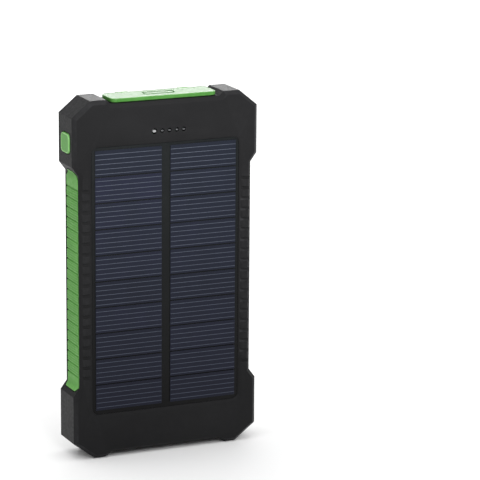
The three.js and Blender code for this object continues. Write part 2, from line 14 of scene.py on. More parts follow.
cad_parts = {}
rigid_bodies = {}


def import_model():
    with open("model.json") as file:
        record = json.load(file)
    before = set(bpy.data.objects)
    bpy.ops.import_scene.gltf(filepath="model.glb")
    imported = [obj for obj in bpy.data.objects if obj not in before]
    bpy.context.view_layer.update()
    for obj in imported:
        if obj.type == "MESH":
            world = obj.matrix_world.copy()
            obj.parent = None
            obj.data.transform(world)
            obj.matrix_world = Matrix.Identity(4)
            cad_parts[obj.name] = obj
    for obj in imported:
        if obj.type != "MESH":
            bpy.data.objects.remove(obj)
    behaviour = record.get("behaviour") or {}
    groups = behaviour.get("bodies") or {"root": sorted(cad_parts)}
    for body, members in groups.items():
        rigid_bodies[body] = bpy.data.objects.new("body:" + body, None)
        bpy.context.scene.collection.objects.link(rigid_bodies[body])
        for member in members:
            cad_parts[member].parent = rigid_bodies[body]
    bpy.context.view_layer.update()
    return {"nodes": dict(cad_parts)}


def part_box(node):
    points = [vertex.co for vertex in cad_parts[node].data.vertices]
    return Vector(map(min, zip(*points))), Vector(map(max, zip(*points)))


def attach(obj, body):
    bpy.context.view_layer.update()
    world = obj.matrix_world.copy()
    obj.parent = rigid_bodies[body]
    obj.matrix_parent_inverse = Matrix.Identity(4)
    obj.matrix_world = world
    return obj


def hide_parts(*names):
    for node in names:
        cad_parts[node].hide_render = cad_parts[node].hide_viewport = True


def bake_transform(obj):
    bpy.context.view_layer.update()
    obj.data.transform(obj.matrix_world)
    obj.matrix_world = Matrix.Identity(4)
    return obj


for stale in list(bpy.data.objects):
    bpy.data.objects.remove(stale, do_unlink=True)
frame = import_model()
scene = bpy.context.scene
NODES = frame["nodes"]

OX, OY = 0.25, -1.05   # drawing frame -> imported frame


def P(x, y, z):
    return Vector(((x + OX) / 1000, (y + OY) / 1000, z / 1000))


def srgb(r, g, b, a=1.0):
    out = []
    for c in (r, g, b):
        c /= 255
        out.append(c / 12.92 if c <= 0.04045 else ((c + 0.055) / 1.055) ** 2.4)
    return (*out, a)


# ------------------------------------------------------------------- camera
def make_camera():
    yaw, pitch, roll = math.radians(24.34), math.radians(13.59), math.radians(0.41)
    back = Vector((-math.sin(yaw) * math.cos(pitch), -math.cos(yaw) * math.cos(pitch), math.sin(pitch)))
    right = (-back).cross(Vector((0, 0, 1))).normalized()
    up = right.cross(-back)
    r = math.cos(roll) * right + math.sin(roll) * up
    u = -math.sin(roll) * right + math.cos(roll) * up
    where = P(33.94, 0, 77.89) + back * 1.106
    data = bpy.data.cameras.new("camera")
    data.sensor_width = 36
    data.sensor_fit = "HORIZONTAL"
    data.lens = 215.7
    data.clip_start, data.clip_end = 0.05, 60
    cam = bpy.data.objects.new("camera", data)
    cam.matrix_world = Matrix(((r.x, u.x, back.x, where.x), (r.y, u.y, back.y, where.y),
                               (r.z, u.z, back.z, where.z), (0, 0, 0, 1)))
    scene.collection.objects.link(cam)
    scene.camera = cam


make_camera()

# ------------------------------------------------------------ light and floor
scene.view_settings.view_transform = "Standard"
scene.view_settings.look = "None"


def make_world(level):
    world = bpy.data.worlds.new("studio")
    scene.world = world
    world.use_nodes = True
    nt = world.node_tree
    nt.nodes.clear()
    out = nt.nodes.new("ShaderNodeOutputWorld")
    mix = nt.nodes.new("ShaderNodeMixShader")
    path = nt.nodes.new("ShaderNodeLightPath")
    soft = nt.nodes.new("ShaderNodeBackground")
    white = nt.nodes.new("ShaderNodeBackground")
    white.inputs["Color"].default_value = (1, 1, 1, 1)
    white.inputs["Strength"].default_value = 1.02
    # the studio is brighter overhead than at table height
    tc = nt.nodes.new("ShaderNodeTexCoord")
    sep = nt.nodes.new("ShaderNodeSeparateXYZ")
    rng = nt.nodes.new("ShaderNodeMapRange")
    rng.inputs["From Min"].default_value = -0.1
    rng.inputs["From Max"].default_value = 0.9
    rng.inputs["To Min"].default_value = level[0]
    rng.inputs["To Max"].default_value = level[1]
    nt.links.new(tc.outputs["Generated"], sep.inputs[0])
    nt.links.new(sep.outputs["Z"], rng.inputs["Value"])
    nt.links.new(rng.outputs[0], soft.inputs["Strength"])
    soft.inputs["Color"].default_value = (1, 1, 1, 1)
    nt.links.new(path.outputs["Is Camera Ray"], mix.inputs["Fac"])
    nt.links.new(soft.outputs[0], mix.inputs[1])
    nt.links.new(white.outputs[0], mix.inputs[2])
    nt.links.new(mix.outputs[0], out.inputs["Surface"])


def sun(name, direction, strength, angle):
    data = bpy.data.lights.new(name, "SUN")
    data.energy = strength
    data.angle = math.radians(angle)
    ob = bpy.data.objects.new(name, data)
    ob.rotation_euler = Vector(direction).to_track_quat("Z", "Y").to_euler()
    scene.collection.objects.link(ob)


def panel(name, where, size, watts):
    """A soft box at where, facing the charger."""
    data = bpy.data.lights.new(name, "AREA")
    data.shape = "RECTANGLE"
    data.size, data.size_y = size
    data.energy = watts
    ob = bpy.data.objects.new(name, data)
    where = Vector(where)
    ob.location = where
    ob.rotation_euler = (where - Vector((0, 0, 0.07))).to_track_quat("Z", "Y").to_euler()
    scene.collection.objects.link(ob)


def spot(name, where, target, watts, cone, radius):
    data = bpy.data.lights.new(name, "SPOT")
    data.energy = watts
    data.spot_size = math.radians(cone)
    data.spot_blend = 1.0
    data.shadow_soft_size = radius
    ob = bpy.data.objects.new(name, data)
    ob.location = where
    ob.rotation_euler = (Vector(where) - Vector(target)).to_track_quat("Z", "Y").to_euler()
    scene.collection.objects.link(ob)


make_world((0.52, 0.88))
sun("overhead", (-0.15, -0.1, 1.0), 1.18, 100)
panel("back_softbox", (0.62, 1.42, 0.42), (0.9, 0.22), 6.6)
spot("upper_front_lamp", (-0.06, -0.52, 0.36), (0.0, 0.0, 0.152), 20.0, 22, 0.09)

# ----------------------------------------------------------------- materials
MATS = {}


class Nodes:
    """Small helper round one material's node tree."""

    def __init__(self, name):
        self.m = bpy.data.materials.new(name)
        self.m.use_nodes = True
        self.t = self.m.node_tree
        self.t.nodes.clear()
        out = self.t.nodes.new("ShaderNodeOutputMaterial")
        self.b = self.t.nodes.new("ShaderNodeBsdfPrincipled")
        self.t.links.new(self.b.outputs[0], out.inputs["Surface"])
        self.tc = self.t.nodes.new("ShaderNodeTexCoord")

    def set(self, **values):
        for key, value in values.items():
            self.b.inputs[key.replace("_", " ")].default_value = value
        return self

    def link(self, a, b):
        self.t.links.new(a, b)

    def coords(self, stretch=(1, 1, 1)):
        mp = self.t.nodes.new("ShaderNodeMapping")
        mp.inputs["Scale"].default_value = stretch
        self.link(self.tc.outputs["Object"], mp.inputs["Vector"])
        return mp.outputs[0]

    def noise(self, scale, detail=3.0, rough=0.55, stretch=(1, 1, 1)):
        n = self.t.nodes.new("ShaderNodeTexNoise")
        n.inputs["Scale"].default_value = scale
        n.inputs["Detail"].default_value = detail
        n.inputs["Roughness"].default_value = rough
        self.link(self.coords(stretch), n.inputs["Vector"])
        return n.outputs["Fac"]

    def voronoi(self, scale, stretch=(1, 1, 1), feature="F1"):
        n = self.t.nodes.new("ShaderNodeTexVoronoi")
        n.feature = feature
        n.inputs["Scale"].default_value = scale
        self.link(self.coords(stretch), n.inputs["Vector"])
        return n.outputs["Distance"]

    def math(self, op, a, b=None, c=None):
        n = self.t.nodes.new("ShaderNodeMath")
        n.operation = op
        for i, v in enumerate((a, b, c)):
            if v is None:
                continue
            if isinstance(v, (int, float)):
                n.inputs[i].default_value = v
            else:
                self.link(v, n.inputs[i])
        return n.outputs[0]

    def axis(self, which):
        s = self.t.nodes.new("ShaderNodeSeparateXYZ")
        self.link(self.tc.outputs["Object"], s.inputs[0])
        return s.outputs[which]

    def ramp(self, fac, stops):
        n = self.t.nodes.new("ShaderNodeValToRGB")
        e = n.color_ramp.elements
        while len(e) > 1:
            e.remove(e[-1])
        e[0].position, e[0].color = stops[0]
        for pos, col in stops[1:]:
            e.new(pos).color = col
        self.link(fac, n.inputs[0])
        return n.outputs["Color"]

    def map(self, v, a, b, c, d):
        n = self.t.nodes.new("ShaderNodeMapRange")
        for key, val in (("From Min", a), ("From Max", b), ("To Min", c), ("To Max", d)):
            n.inputs[key].default_value = val
        self.link(v, n.inputs["Value"])
        return n.outputs[0]

    def mix(self, fac, a, b, mode="MIX"):
        n = self.t.nodes.new("ShaderNodeMix")
        n.data_type = "RGBA"
        n.blend_type = mode
        for sock, v in ((n.inputs[0], fac), (n.inputs[6], a), (n.inputs[7], b)):
            if isinstance(v, (int, float, tuple)):
                sock.default_value = v
            else:
                self.link(v, sock)
        return n.outputs[2]

    def edges(self, lo=0.5, hi=0.6):
        g = self.t.nodes.new("ShaderNodeNewGeometry")
        return self.map(g.outputs["Pointiness"], lo, hi, 0, 1)

    def color(self, sock):
        self.link(sock, self.b.inputs["Base Color"])

    def rough(self, sock):
        self.link(sock, self.b.inputs["Roughness"])

    def bump(self, height, distance, strength=1.0, after=None):
        n = self.t.nodes.new("ShaderNodeBump")
        n.inputs["Distance"].default_value = distance
        n.inputs["Strength"].default_value = strength
        self.link(height, n.inputs["Height"])
        if after is not None:
            self.link(after, n.inputs["Normal"])
        self.link(n.outputs[0], self.b.inputs["Normal"])
        return n.outputs[0]

    def done(self, name):
        MATS[name] = self.m
        return self.m


def moulded(name, dark, light, wear_and_highlight, rough=(0.42, 0.58), grain=2100, depth=2.2e-5, spec=0.3, blotch=45, sheen=0.0):
    """Spark-textured moulded plastic or rubber: mottled colour, paler edges that are partly rubbed wear and partly a
    painted highlight, fine grain.
    """
    n = Nodes(name)
    fine = n.noise(grain, 2.0, 0.6)
    broad = n.noise(blotch, 4.0, 0.6)
    cells = n.voronoi(grain * 0.55)
    base = n.ramp(broad, [(0.30, dark), (0.70, light)])
    speck = n.mix(n.map(fine, 0.35, 0.75, 0.0, 0.35), base, light)
    # paler, slightly glossier edges: partly real rubbed wear, partly a painted highlight along the edges
    wear_and_highlight_mask = n.math("MULTIPLY", n.edges(0.515, 0.60), n.map(n.noise(420, 3.0, 0.6), 0.35, 0.65, 0.35, 1.0))
    n.color(n.mix(wear_and_highlight_mask, speck, wear_and_highlight))
    n.rough(n.math("SUBTRACT", n.map(n.noise(grain * 0.5, 2.0, 0.5), 0.3, 0.7, *rough), n.math("MULTIPLY", wear_and_highlight_mask, 0.08)))
    n.bump(n.math("ADD", fine, n.math("MULTIPLY", cells, 0.5)), depth)
    n.set(Specular_IOR_Level=spec)
    if sheen:
        n.set(Sheen_Weight=sheen, Sheen_Roughness=0.5)
    return n.done(name)


moulded("case_black", srgb(24, 24, 25), srgb(29, 29, 30), srgb(50, 50, 52), rough=(0.42, 0.56), spec=0.085)
moulded("panel_black", srgb(20, 20, 21), srgb(27, 27, 28), srgb(46, 46, 48), rough=(0.46, 0.6), grain=2600, depth=1.6e-5, spec=0.12)
moulded("seal_black", srgb(10, 10, 10), srgb(16, 16, 16), srgb(24, 24, 24), rough=(0.7, 0.85), grain=1500, spec=0.2)
moulded("rubber_green", srgb(70, 130, 50), srgb(84, 146, 62), srgb(120, 176, 100), rough=(0.5, 0.66), grain=1700, depth=2.5e-5, spec=0.22, blotch=60)
moulded("cover_mark", srgb(22, 62, 14), srgb(30, 74, 20), srgb(60, 110, 48), rough=(0.8, 0.9), grain=2100, depth=1.0e-5, spec=0.0, blotch=60)
# painted highlight: the pale green of the ring round the button's edge
moulded("button_rim", srgb(104, 160, 84), srgb(122, 176, 102), srgb(150, 196, 132), rough=(0.4, 0.5), grain=2100, depth=1.0e-5, spec=0.3, blotch=60)
moulded("cover_green", srgb(46, 100, 30), srgb(56, 112, 38), srgb(112, 168, 96), rough=(0.34, 0.44), grain=2100, depth=1.5e-5, spec=0.2, blotch=60)
moulded("button_green", srgb(74, 136, 54), srgb(84, 148, 64), srgb(150, 200, 134), rough=(0.38, 0.5), grain=2400, depth=1.2e-5, spec=0.25)


def solar_cell():
    n = Nodes("cell_blue")
    z, x = n.axis("Z"), n.axis("X")
    row = n.math("FLOOR", n.math("DIVIDE", n.math("SUBTRACT", z, 0.0188), 0.01003))
    side = n.math("SIGN", n.math("SUBTRACT", x, 0.00025))
    white = n.t.nodes.new("ShaderNodeTexWhiteNoise")
    white.noise_dimensions = "1D"
    n.link(n.math("ADD", n.math("MULTIPLY", row, 3.17), n.math("MULTIPLY", side, 1.31)), white.inputs["W"])
    # silicon: cool blue-grey, slightly different from cell to cell, faint crystal drift
    drift = n.noise(160, 3.0, 0.5, (1, 1, 0.45))
    tone = n.math("ADD", n.math("MULTIPLY", white.outputs["Value"], 0.45), n.math("MULTIPLY", drift, 0.55))
    # painted shade: the cells darken towards the bottom of the panel
    painted_low_shade = n.map(z, 0.02, 0.119, 0.75, 0.0)
    n.color(n.mix(painted_low_shade, n.ramp(tone, [(0.2, srgb(17, 22, 34)), (0.55, srgb(21, 26, 40)), (0.85, srgb(26, 28, 48))]),
                  srgb(5, 7, 27)))
    n.rough(n.map(n.noise(900, 2.0, 0.5), 0.3, 0.7, 0.34, 0.46))
    n.bump(n.noise(1900, 2.0, 0.5), 4e-6)
    n.set(Specular_IOR_Level=0.14, Coat_Weight=0.12, Coat_Roughness=0.3)
    return n.done("cell_blue")


def silver_paste():
    n = Nodes("silver_paste")
    f = n.noise(1800, 3.0, 0.6)
    # painted shade: the silver lines darken towards the bottom of the panel
    painted_low_shade = n.map(n.axis("Z"), 0.02, 0.119, 0.6, 0.0)
    n.color(n.mix(painted_low_shade, n.ramp(f, [(0.3, srgb(60, 66, 78)), (0.7, srgb(78, 84, 97))]), srgb(46, 52, 68)))
    n.rough(n.map(f, 0.3, 0.7, 0.4, 0.6))
    n.bump(n.noise(4200, 2.0, 0.6), 8e-6)
    n.set(Metallic=0.25, Specular_IOR_Level=0.4)
    return n.done("silver_paste")


def resin():
    n = Nodes("panel_resin")
    f = n.noise(110, 4.0, 0.55)
    # painted shade: the resin darkens to near black towards the bottom of the window
    painted_low_shade = n.map(n.axis("Z"), 0.02, 0.119, 1.0, 0.0)
    n.color(n.mix(painted_low_shade, n.ramp(f, [(0.3, srgb(16, 19, 20)), (0.7, srgb(22, 25, 26))]), srgb(2, 2, 3)))
    n.rough(n.map(n.noise(700, 3.0, 0.5), 0.3, 0.7, 0.3, 0.42))
    n.bump(n.noise(1500, 3.0, 0.6), 1.0e-5)
    n.set(Specular_IOR_Level=0.12, Coat_Weight=0.08, Coat_Roughness=0.2)
    return n.done("panel_resin")


def frosted():
    n = Nodes("diffuser_white")
    f = n.noise(1400, 2.0, 0.6)
    b = n.noise(90, 2.0, 0.5)
    n.color(n.ramp(b, [(0.3, srgb(204, 207, 210)), (0.7, srgb(220, 222, 225))]))
    n.rough(n.map(f, 0.3, 0.7, 0.38, 0.5))
    n.bump(f, 1.4e-5)
    n.set(Subsurface_Weight=0.35, Subsurface_Radius=(0.004, 0.004, 0.004), Subsurface_Scale=0.5, Specular_IOR_Level=0.45)
    return n.done("diffuser_white")


def webbing():
    """Plain-woven nylon tape: warp cords along Z, weft picks across, slightly fuzzy."""
    n = Nodes("webbing_grey")
    z, x = n.axis("Z"), n.axis("X")
    warp = n.math("SINE", n.math("MULTIPLY", x, 2 * math.pi / 0.00080))
    half = n.math("GREATER_THAN", warp, 0.0)
    phase = n.math("ADD", n.math("MULTIPLY", z, 2 * math.pi / 0.00105), n.math("MULTIPLY", half, math.pi))
    weft = n.math("SINE", phase)
    body = n.math("MULTIPLY", n.math("ABSOLUTE", warp), n.math("ADD", n.math("MULTIPLY", weft, 0.5), 0.5))
    fuzz = n.noise(5200, 2.0, 0.6)
    height = n.math("ADD", body, n.math("MULTIPLY", fuzz, 0.35))
    # painted shade: the colour follows the weave's height and is darker in its low points; the broad noise adds random
    # tone
    n.color(n.mix(n.map(n.noise(130, 3.0, 0.5), 0.35, 0.65, 0.0, 0.5),
                  n.ramp(height, [(0.1, srgb(24, 24, 26)), (0.6, srgb(44, 44, 46)), (1.0, srgb(62, 62, 65))]),
                  srgb(36, 36, 38)))
    n.rough(n.map(fuzz, 0.3, 0.7, 0.75, 0.9))
    n.bump(height, 9e-5)
    n.set(Specular_IOR_Level=0.25, Sheen_Weight=0.12, Sheen_Roughness=0.45)
    return n.done("webbing_grey")


def metal(name, dark, light, rough=(0.25, 0.4), brushed=(1, 1, 1), metallic=1.0):
    n = Nodes(name)
    f = n.noise(900, 3.0, 0.6, brushed)
    n.color(n.ramp(f, [(0.3, dark), (0.7, light)]))
    n.rough(n.map(n.noise(400, 3.0, 0.6), 0.3, 0.7, *rough))
    n.bump(f, 6e-6)
    n.set(Metallic=metallic)
    return n.done(name)


def board(name, dark, light, trace):
    n = Nodes(name)
    lines = n.math("GREATER_THAN", n.math("ABSOLUTE", n.math("SINE", n.math("MULTIPLY", n.axis("X"), 1900))), 0.93)
    patch = n.math("GREATER_THAN", n.noise(210, 1.0, 0.3), 0.52)
    base = n.ramp(n.noise(140, 3.0, 0.5), [(0.3, dark), (0.7, light)])
    n.color(n.mix(n.math("MULTIPLY", lines, patch), base, trace))
    n.rough(n.map(n.noise(800, 2.0, 0.5), 0.3, 0.7, 0.3, 0.45))
    n.bump(n.math("MULTIPLY", lines, patch), 1.5e-5)
    n.set(Specular_IOR_Level=0.45)
    return n.done(name)


def glassy(name, tint, emit=0.0):
    n = Nodes(name)
    f = n.noise(1600, 2.0, 0.5)
    n.color(n.ramp(f, [(0.3, tint), (0.7, tuple(min(1.0, c * 1.12) for c in tint[:3]) + (1.0,))]))
    n.rough(n.map(f, 0.3, 0.7, 0.16, 0.28))
    n.bump(f, 5e-6)
    n.set(Specular_IOR_Level=0.5, Coat_Weight=0.4, Coat_Roughness=0.1)
    if emit:
        n.set(Emission_Color=(1, 1, 1, 1), Emission_Strength=emit)
    return n.done(name)


solar_cell()
silver_paste()
resin()
frosted()
webbing()
metal("steel", srgb(150, 152, 156), srgb(196, 198, 202))
metal("can_aluminium", srgb(168, 170, 172), srgb(206, 208, 210), (0.3, 0.45), (1, 1, 8))
metal("battery_foil", srgb(176, 178, 180), srgb(210, 212, 214), (0.3, 0.5), (1, 1, 0.2), 0.85)
board("pcb_green", srgb(14, 70, 38), srgb(20, 92, 50), srgb(34, 120, 66))
board("board_white", srgb(206, 208, 206), srgb(222, 224, 222), srgb(190, 192, 190))
moulded("chip_black", srgb(22, 22, 24), srgb(32, 32, 34), srgb(60, 60, 62), rough=(0.5, 0.65), grain=3200, depth=1e-5, spec=0.35)
moulded("ferrite", srgb(44, 44, 46), srgb(62, 62, 64), srgb(88, 88, 90), rough=(0.6, 0.8), grain=1500, spec=0.3)
moulded("foam", srgb(40, 40, 42), srgb(58, 58, 60), srgb(70, 70, 72), rough=(0.85, 0.95), grain=1100, depth=8e-5, spec=0.15)
moulded("wire_red", srgb(150, 22, 20), srgb(176, 32, 28), srgb(196, 70, 64), rough=(0.35, 0.5), grain=1300, depth=1e-5, spec=0.45)
moulded("wire_black", srgb(18, 18, 19), srgb(28, 28, 29), srgb(50, 50, 52), rough=(0.35, 0.5), grain=1300, depth=1e-5, spec=0.45)
glassy("lens_clear", srgb(60, 61, 63))
glassy("lens_lit", srgb(132, 133, 134), 0.02)
glassy("led_white", srgb(228, 226, 196))


# --------------------------------------------------------------- mesh helpers
def publish(name, mesh, material, body, stands_for=(), smooth=32.0):
    ob = bpy.data.objects.new(name, mesh)
    scene.collection.objects.link(ob)
    mesh.materials.clear()
    mesh.materials.append(MATS[material])
    mesh.shade_smooth()
    mesh.set_sharp_from_angle(angle=math.radians(smooth))
    if stands_for:
        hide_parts(*stands_for)
    if body:
        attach(ob, body)
    return ob


def from_lists(name, verts, faces):
    mesh = bpy.data.meshes.new(name)
    mesh.from_pydata([tuple(v) for v in verts], [], faces)
    bm = bmesh.new()
    bm.from_mesh(mesh)
    bmesh.ops.remove_doubles(bm, verts=bm.verts, dist=5e-7)
    bmesh.ops.recalc_face_normals(bm, faces=bm.faces)
    bm.to_mesh(mesh)
    bm.free()
    return mesh


def baked(ob):
    """Replaces an object's mesh with the result of its modifiers."""
    bpy.context.view_layer.update()
    dg = bpy.context.evaluated_depsgraph_get()
    mesh = bpy.data.meshes.new_from_object(ob.evaluated_get(dg), preserve_all_data_layers=True, depsgraph=dg)
    ob.modifiers.clear()
    ob.data = mesh
    return ob


def clean_copy(node, flats=True):
    """The CAD node's mesh, welded, in metres. flats merges its flat areas into single faces,
    which only suits a node whose flat faces have no holes through them."""
    bm = bmesh.new()
    bm.from_mesh(NODES[node].data)
    bmesh.ops.remove_doubles(bm, verts=bm.verts, dist=2e-6)
    bmesh.ops.dissolve_degenerate(bm, edges=bm.edges, dist=1e-7)
    if flats:
        bmesh.ops.dissolve_limit(bm, angle_limit=math.radians(0.6), use_dissolve_boundaries=False,
                                 verts=bm.verts, edges=bm.edges)
    else:
        # turn the diagonals inside flat areas, so no sliver is left along them
        bmesh.ops.triangulate(bm, faces=bm.faces)
        inner = [e for e in bm.edges if len(e.link_faces) == 2 and in_one_plane(e)]
        bmesh.ops.beautify_fill(bm, faces=bm.faces, edges=inner, use_restrict_tag=False, method="ANGLE")
    return bm


def in_one_plane(e):
    """The two triangles at an edge lie in one plane, however thin they are."""
    points = {v for f in e.link_faces for v in f.verts}
    big = max(e.link_faces, key=lambda f: f.calc_area())
    big.normal_update()
    return all(abs((v.co - e.verts[0].co).dot(big.normal)) < 1.5e-6 for v in points)


def skin(node, name, material, body, width=0.2, segments=2, weigh=None, smooth=32.0, flats=True):
    """A copy of a CAD node with its outer corners rounded, standing for that node."""
    bm = clean_copy(node, flats)
    layer = bm.edges.layers.float.get("bevel_weight_edge") or bm.edges.layers.float.new("bevel_weight_edge")
    for e in bm.edges:
        w = 0.0
        if (len(e.link_faces) == 2 and e.is_convex and e.calc_face_angle(0) > math.radians(28)
                and e.calc_length() > 2.0e-4 and not in_one_plane(e)):
            w = 1.0 if weigh is None else weigh(e)
        e[layer] = w
    mesh = bpy.data.meshes.new(name)
    bm.to_mesh(mesh)
    bm.free()
    ob = publish(name, mesh, material, None, smooth=smooth)
    mod = ob.modifiers.new("corners", "BEVEL")
    mod.limit_method = "WEIGHT"
    mod.width = width / 1000
    mod.segments = segments
    mod.use_clamp_overlap = False
    mod.profile = 0.6
    tri = ob.modifiers.new("normals", "WEIGHTED_NORMAL")
    tri.keep_sharp = True
    tri.weight = 60
    baked(ob)
    lo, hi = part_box(node)
    for v in ob.data.vertices:
        v.co = Vector([min(max(v.co[i], lo[i]), hi[i]) for i in range(3)])
    ob.data.materials.clear()
    ob.data.materials.append(MATS[material])
    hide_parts(node)
    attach(ob, body)
    return ob


def rr_loop(hu, hv, r, inset, per=8):
    """Points of a rounded rectangle, moved inwards by inset."""
    a, b = hu - inset, hv - inset
    r = max(r - inset, 0.02)
    r = min(r, a, b)
    pts = []
    for k, (su, sv) in enumerate(((1, 1), (-1, 1), (-1, -1), (1, -1))):
        for i in range(per + 1):
            t = math.pi / 2 * (k + i / per)
            pts.append((su * (a - r) + r * math.cos(t), sv * (b - r) + r * math.sin(t)))
    return pts


def slab(name, place, hu, hv, r, profile, per=8, ring=False):
    """Lofts a rounded rectangle through (inset, height) rows; place(u, v, h) gives the point."""
    verts, faces = [], []
    n = 4 * (per + 1)
    for inset, h in profile:
        verts += [place(u, v, h) for u, v in rr_loop(hu, hv, r, inset, per)]
    rows = len(profile)
    for j in range(rows if ring else rows - 1):
        k = (j + 1) % rows
        for i in range(n):
            m = (i + 1) % n
            faces.append((j * n + i, j * n + m, k * n + m, k * n + i))
    if not ring:
        faces.append(tuple(range(n)))
        faces.append(tuple(range((rows - 1) * n, rows * n))[::-1])
    return from_lists(name, verts, faces)


def joined(name, meshes):
    """Several meshes as one."""
    verts, faces = [], []
    for m in meshes:
        base = len(verts)
        verts += [v.co.copy() for v in m.vertices]
        faces += [tuple(base + i for i in p.vertices) for p in m.polygons]
    return from_lists(name, verts, faces)


def catmull(points, count, closed=True):
    """Centripetal Catmull-Rom through points, resampled at even spacing."""
    pts = [Vector(p) for p in points]
    n = len(pts)
    dense = []
    spans = n if closed else n - 1
    for i in range(spans):
        if closed:
            p0, p1, p2, p3 = (pts[(i + k) % n] for k in (-1, 0, 1, 2))
        else:
            p1, p2 = pts[i], pts[i + 1]
            p0 = pts[i - 1] if i else p1 + (p1 - p2)
            p3 = pts[i + 2] if i + 2 < n else p2 + (p2 - p1)
        t0 = 0.0
        t1 = t0 + max((p1 - p0).length, 1e-6) ** 0.5
        t2 = t1 + max((p2 - p1).length, 1e-6) ** 0.5
        t3 = t2 + max((p3 - p2).length, 1e-6) ** 0.5
        for k in range(12):
            t = t1 + (t2 - t1) * k / 12
            a1 = p0 * ((t1 - t) / (t1 - t0)) + p1 * ((t - t0) / (t1 - t0))
            a2 = p1 * ((t2 - t) / (t2 - t1)) + p2 * ((t - t1) / (t2 - t1))
            a3 = p2 * ((t3 - t) / (t3 - t2)) + p3 * ((t - t2) / (t3 - t2))
            b1 = a1 * ((t2 - t) / (t2 - t0)) + a2 * ((t - t0) / (t2 - t0))
            b2 = a2 * ((t3 - t) / (t3 - t1)) + a3 * ((t - t1) / (t3 - t1))
            dense.append(b1 * ((t2 - t) / (t2 - t1)) + b2 * ((t - t1) / (t2 - t1)))
    dense.append(dense[0].copy() if closed else pts[-1].copy())
    length = [0.0]
    for a, b in zip(dense, dense[1:]):
        length.append(length[-1] + (b - a).length)
    out, k = [], 0
    for i in range(count):
        want = length[-1] * i / (count if closed else count - 1)
        while k < len(dense) - 2 and length[k + 1] < want:
            k += 1
        f = (want - length[k]) / max(length[k + 1] - length[k], 1e-9)
        out.append(dense[k].lerp(dense[k + 1], min(max(f, 0), 1)))
    return out


# ---------------------------------------------------------------- the shells
def outer_edge(e):
    """Full rounding on the outline, less inside small features."""
    length = e.calc_length()
    return 1.0 if length > 0.0012 else 0.6


skin("front_shell", "front_shell_skin", "case_black", "case", width=0.2, weigh=outer_edge, flats=False)
skin("rear_shell", "rear_shell_skin", "case_black", "case", width=0.2, weigh=outer_edge, flats=False)


# --------------------------------------------------------------- side strips
STRIP_X = 35.15  # half-width over the strips' outer faces, as in the CAD


def side_strip(node, sx):
    bm = clean_copy(node)
    mesh = bpy.data.meshes.new(node + "_skin")
    bm.to_mesh(mesh)
    bm.free()
    ob = bpy.data.objects.new(node + "_skin", mesh)
    scene.collection.objects.link(ob)
    # grooves at the pitch of the grip ribs, with finer lines between them
    verts, faces = [], []

    def groove(z, half, depth):
        x0, x1 = STRIP_X - depth, STRIP_X + 0.06
        k = (x1 - STRIP_X) / depth * half + half
        flat = half * 0.35
        base = len(verts)
        for y in (-9.0, 9.0):
            for x, zz in ((x0, z - flat), (x0, z + flat), (x1, z + k), (x1, z - k)):
                verts.append(P(sx * x, y, zz))
        b = base
        faces.extend([(b, b + 1, b + 2, b + 3), (b + 4, b + 7, b + 6, b + 5), (b, b + 4, b + 5, b + 1),
                      (b + 1, b + 5, b + 6, b + 2), (b + 2, b + 6, b + 7, b + 3), (b + 3, b + 7, b + 4, b)])

    for i in range(19):
        z = 32.2 + 4.0 * i
        groove(z, 0.42, 0.42)
        if i < 18:
            for k in (1, 2, 3):
                groove(z + 4.0 * k / 4, 0.13, 0.11)
    cutter = bpy.data.objects.new("cutter", from_lists("cutter", verts, faces))
    scene.collection.objects.link(cutter)
    mod = ob.modifiers.new("grooves", "BOOLEAN")
    mod.operation = "DIFFERENCE"
    mod.solver = "EXACT"
    mod.use_self = True
    mod.object = cutter
    baked(ob)
    bpy.data.objects.remove(cutter, do_unlink=True)
    bm = bmesh.new()
    bm.from_mesh(ob.data)
    bmesh.ops.remove_doubles(bm, verts=bm.verts, dist=2e-6)
    layer = bm.edges.layers.float.new("bevel_weight_edge")
    for e in bm.edges:
        w = 0.0
        if len(e.link_faces) == 2 and e.is_convex and e.calc_face_angle(0) > math.radians(24):
            across = abs((e.verts[0].co - e.verts[1].co).y) > 0.004
            w = 0.35 if across else 1.0
        e[layer] = w
    bm.to_mesh(ob.data)
    bm.free()
    ob.data.shade_smooth()
    ob.data.set_sharp_from_angle(angle=math.radians(32))
    mod = ob.modifiers.new("corners", "BEVEL")
    mod.limit_method = "WEIGHT"
    mod.width = 0.0002
    mod.segments = 2
    mod.use_clamp_overlap = True
    mod = ob.modifiers.new("normals", "WEIGHTED_NORMAL")
    mod.keep_sharp = True
    baked(ob)
    ob.data.materials.clear()
    ob.data.materials.append(MATS["rubber_green"])
    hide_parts(node)
    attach(ob, "case")


side_strip("side_strip_left", -1)
side_strip("side_strip_right", 1)


# --------------------------------------------------------------- port cover
skin("port_cover", "port_cover_skin", "cover_green", "port_cover", width=0.3, segments=3)


def cover_frame():
    """A plain raised frame where the photo's cover carries a moulded word."""
    top = P(0, 0, 138.1).z
    for v in bpy.data.objects["port_cover_skin"].data.vertices:
        if v.co.z > top - 0.00002:
            v.co.z = top - 0.00009
    mesh = slab("port_cover_frame", lambda u, v, h: P(u, 0.2 + v, h), 6.2, 2.1, 0.9,
                [(0.0, 137.9), (0.0, 138.06), (0.04, 138.09), (0.4, 138.09), (0.44, 138.06), (0.44, 137.9)], per=6, ring=True)
    publish("port_cover_frame", mesh, "cover_mark", "port_cover")


cover_frame()


# ------------------------------------------------------------- power button
skin("power_button", "power_button_skin", "button_green", "power_button", width=0.16, segments=2)


